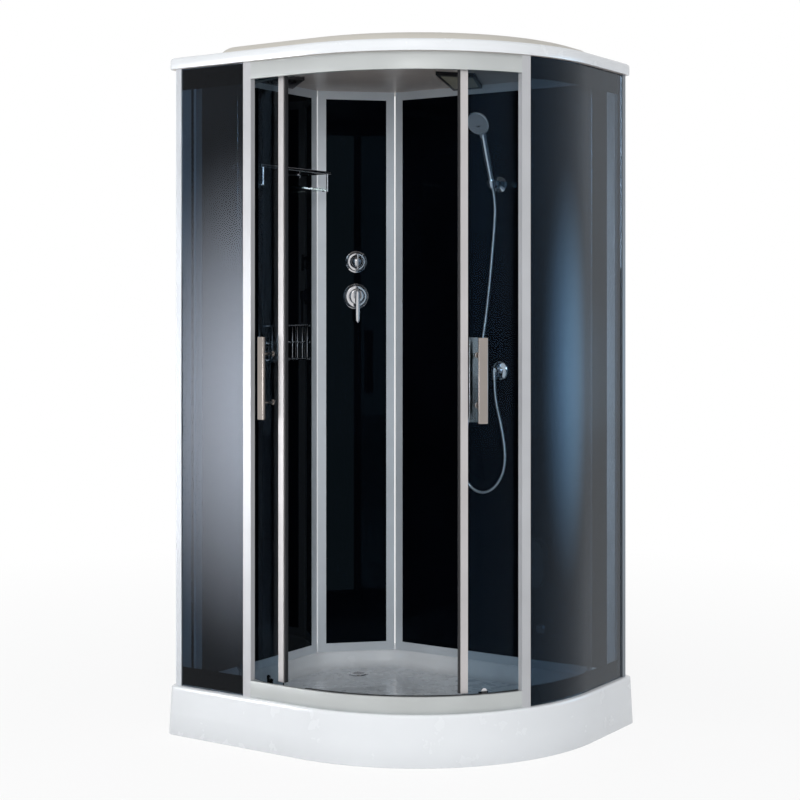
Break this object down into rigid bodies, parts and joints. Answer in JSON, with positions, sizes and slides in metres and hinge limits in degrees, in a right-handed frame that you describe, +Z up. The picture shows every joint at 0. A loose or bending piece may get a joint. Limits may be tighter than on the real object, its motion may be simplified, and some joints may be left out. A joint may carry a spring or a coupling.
{
  "type": "steam shower cabin",
  "caption": "Corner steam shower cabin on a white offset quadrant tray, with black glass walls, curved sliding glass doors and a raised roof.",
  "frame": {"origin": "centre of the footprint on the floor", "axes": "+Z up, -Y towards the front, +X towards the curved right side"},
  "size_m": [1.146, 0.934, 2.126],
  "materials": {
    "white_acrylic": "gloss",
    "dome_plastic": "satin",
    "ceiling_plastic": "satin",
    "satin_aluminium": "satin",
    "rail_aluminium": "satin",
    "pale_profile": "satin",
    "black_glass": "polished",
    "tinted_glass": "polished",
    "clear_glass": "polished",
    "chrome": "polished",
    "chrome_plastic": "polished",
    "hose_chrome": "satin",
    "black_rubber": "matte",
    "roller_plastic": "satin",
    "black_plastic": "satin",
    "lamp_lens": "satin",
    "zinc_steel": "satin",
    "grey_plastic": "satin",
    "brass": "satin",
    "steam_case": "satin"
  },
  "bodies": {
    "cabin": {"tray": "white_acrylic", "tray_support_beams": "zinc_steel", "levelling_feet": "zinc_steel", "waste_trap": "grey_plastic", "drain_grate": "chrome", "left_wall_glass": "black_glass", "left_wall_frame": "satin_aluminium", "back_wall_glass": "black_glass", "back_wall_frame": "satin_aluminium", "column_glass": "black_glass", "column_frame": "satin_aluminium", "left_corner_post": "satin_aluminium", "right_corner_post": "satin_aluminium", "left_fixed_glass": "tinted_glass", "right_fixed_glass": "tinted_glass", "left_jamb": "pale_profile", "right_jamb": "pale_profile", "head_rail": "rail_aluminium", "sill_rail": "rail_aluminium", "ceiling_panel": "ceiling_plastic", "roof_cover": "white_acrylic", "roof_dome": "dome_plastic", "ceiling_lamp_housing": "black_plastic", "ceiling_lamp_lens": "lamp_lens", "fan_housing": "black_plastic", "mixer_valve": "brass", "diverter_escutcheon": "chrome", "mixer_escutcheon": "chrome", "steam_generator": "steam_case", "steam_outlet": "black_plastic", "foot_jet": "chrome", "shower_elbow": "chrome", "shower_hose": "hose_chrome", "holder_bracket": "chrome", "shelf_glass": "clear_glass", "shelf_rail": "chrome", "wire_basket": "chrome"},
    "left_door": {"left_door_glass": "tinted_glass", "left_door_stile": "pale_profile", "left_door_magnetic_seal": "black_rubber", "left_door_handle_outer": "chrome", "left_door_handle_inner": "chrome", "left_door_roller_carriers": "chrome"},
    "left_door_leading_wheel": {"left_door_leading_wheel": "roller_plastic"},
    "left_door_trailing_wheel": {"left_door_trailing_wheel": "roller_plastic"},
    "right_door": {"right_door_glass": "tinted_glass", "right_door_stile": "pale_profile", "right_door_magnetic_seal": "black_rubber", "right_door_handle_outer": "chrome", "right_door_handle_inner": "chrome", "right_door_roller_carriers": "chrome"},
    "right_door_leading_wheel": {"right_door_leading_wheel": "roller_plastic"},
    "right_door_trailing_wheel": {"right_door_trailing_wheel": "roller_plastic"},
    "diverter_knob": {"diverter_knob": "chrome"},
    "mixer_cap": {"mixer_cap": "chrome"},
    "mixer_lever": {"mixer_lever": "chrome"},
    "shower_holder": {"holder_clip": "chrome", "hand_shower": "chrome_plastic"},
    "spray_ring": {"spray_ring": "chrome_plastic"},
    "fan_impeller": {"fan_impeller": "grey_plastic"}
  },
  "joints": [
    {"name": "left_door_slide", "type": "hinge", "parent": "cabin", "child": "left_door", "pos_m": [-0.065, 0.171, 1.1], "axis": [0, 0, 1], "range_deg": [0, 18]},
    {"name": "left_door_leading_wheel_roll", "type": "hinge", "parent": "left_door", "child": "left_door_leading_wheel", "pos_m": [-0.21663, -0.3795, 2.0263], "axis": [-0.2656, -0.9641, 0], "range_deg": [-860, 5]},
    {"name": "left_door_trailing_wheel_roll", "type": "hinge", "parent": "left_door", "child": "left_door_trailing_wheel", "pos_m": [-0.3876, -0.30014, 2.0263], "axis": [-0.565, -0.8251, 0], "range_deg": [-860, 5]},
    {"name": "right_door_slide", "type": "hinge", "parent": "cabin", "child": "right_door", "pos_m": [-0.065, 0.171, 1.1], "axis": [0, 0, 1], "range_deg": [-34.8, 5]},
    {"name": "right_door_leading_wheel_roll", "type": "hinge", "parent": "right_door", "child": "right_door_leading_wheel", "pos_m": [0.3877, -0.177, 2.0263], "axis": [0.7928, -0.6095, 0], "range_deg": [-240, 1660]},
    {"name": "right_door_trailing_wheel_roll", "type": "hinge", "parent": "right_door", "child": "right_door_trailing_wheel", "pos_m": [0.50342, 0.22523, 2.0263], "axis": [0.9955, 0.095, 0], "range_deg": [-240, 1660]},
    {"name": "diverter_turn", "type": "hinge", "parent": "cabin", "child": "diverter_knob", "pos_m": [-0.3815, 0.2815, 1.475], "axis": [0.7071, -0.7071, 0], "range_deg": [-90, 90]},
    {"name": "mixer_turn", "type": "hinge", "parent": "cabin", "child": "mixer_cap", "pos_m": [-0.3815, 0.2815, 1.357], "axis": [0.7071, -0.7071, 0], "range_deg": [-45, 45]},
    {"name": "mixer_lift", "type": "hinge", "parent": "mixer_cap", "child": "mixer_lever", "pos_m": [-0.35852, 0.25852, 1.371], "axis": [-0.7071, -0.7071, 0], "range_deg": [0, 25]},
    {"name": "holder_tilt", "type": "hinge", "parent": "cabin", "child": "shower_holder", "pos_m": [0.13, 0.325, 1.722], "axis": [1, 0, 0], "range_deg": [-10, 10]},
    {"name": "spray_ring_turn", "type": "hinge", "parent": "shower_holder", "child": "spray_ring", "pos_m": [0.13, 0.23165, 1.90831], "axis": [0, -0.848, -0.5299], "range_deg": [-40, 40]},
    {"name": "fan_spin", "type": "hinge", "parent": "cabin", "child": "fan_impeller", "pos_m": [-0.408, -0.098, 2.066], "axis": [0, 0, 1], "continuous": true}
  ],
  "couplings": [
    {"joint": "left_door_leading_wheel_roll", "follows": "left_door_slide", "ratio": -47.583},
    {"joint": "left_door_trailing_wheel_roll", "follows": "left_door_slide", "ratio": -47.583},
    {"joint": "right_door_leading_wheel_roll", "follows": "right_door_slide", "ratio": -47.583},
    {"joint": "right_door_trailing_wheel_roll", "follows": "right_door_slide", "ratio": -47.583}
  ]
}
